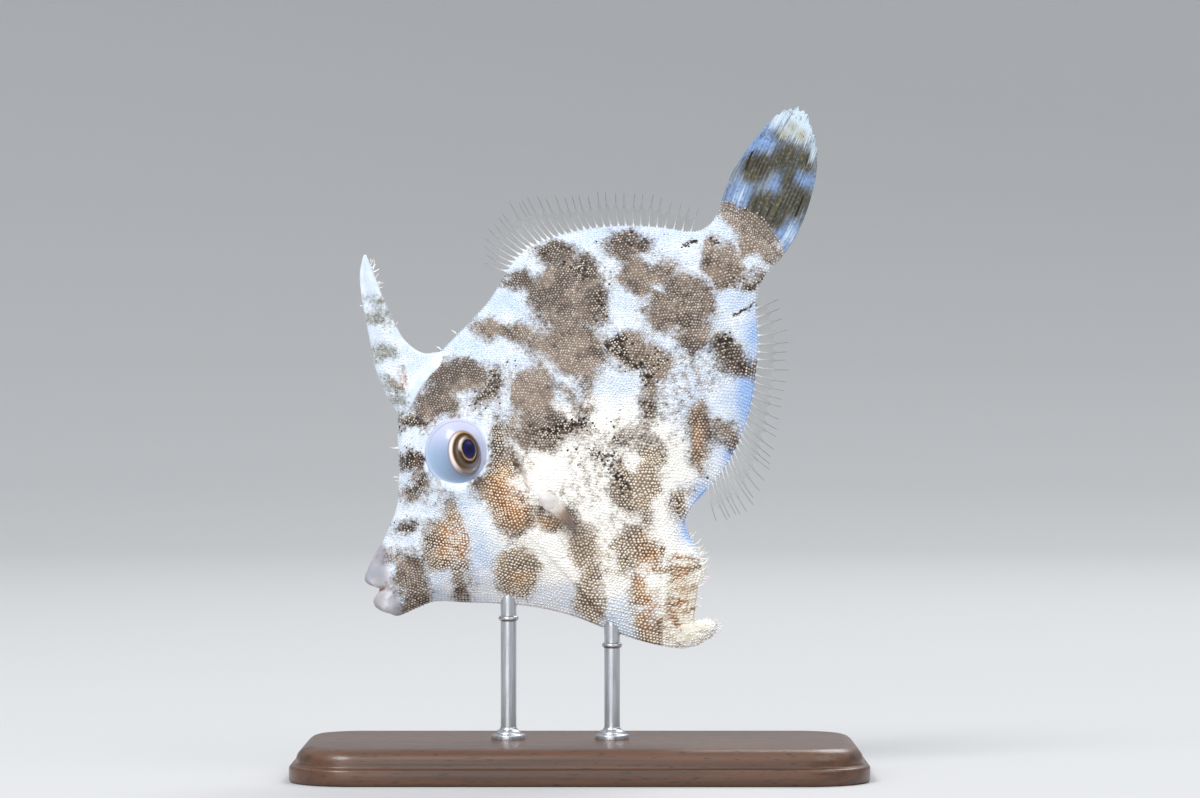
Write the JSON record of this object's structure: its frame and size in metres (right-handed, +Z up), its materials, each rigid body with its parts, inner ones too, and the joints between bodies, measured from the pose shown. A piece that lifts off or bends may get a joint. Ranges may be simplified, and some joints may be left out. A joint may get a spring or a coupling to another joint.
{
  "type": "filefish model on a display stand",
  "caption": "Life-size filefish, nose down with its back spine raised and tail bent up, held over a flat base by short rods.",
  "frame": {"origin": "centre of the stand's flat underside", "axes": "+Z up, -X the way the fish faces, +Y across to its right flank; the fish lies in the XZ plane, pitched 42 degrees nose down"},
  "size_m": [0.08, 0.038, 0.0936],
  "materials": {
    "skin": "granular skin, off-white with brown blotches",
    "tail_fin": "rayed membrane, olive and white bands",
    "clear_fin": "thin clear membrane with pale rays",
    "eye": "wet, pale blue with a bronze iris",
    "stand_wood": "dark stained beech, satin lacquer",
    "stand_steel": "brushed along the rod"
  },
  "bodies": {
    "root": {"head": "skin", "trunk": "skin", "pelvic_flap": "skin", "caudal_peduncle": "skin", "dorsal_spine": "skin", "caudal_fin": "tail_fin", "soft_dorsal_fin": "clear_fin", "anal_fin": "clear_fin", "pectoral_fin_left": "clear_fin", "pectoral_fin_right": "clear_fin", "eye_left": "eye", "eye_right": "eye", "stand_base": "stand_wood", "stand_rod_front": "stand_steel", "stand_rod_rear": "stand_steel"}
  },
  "joints": []
}
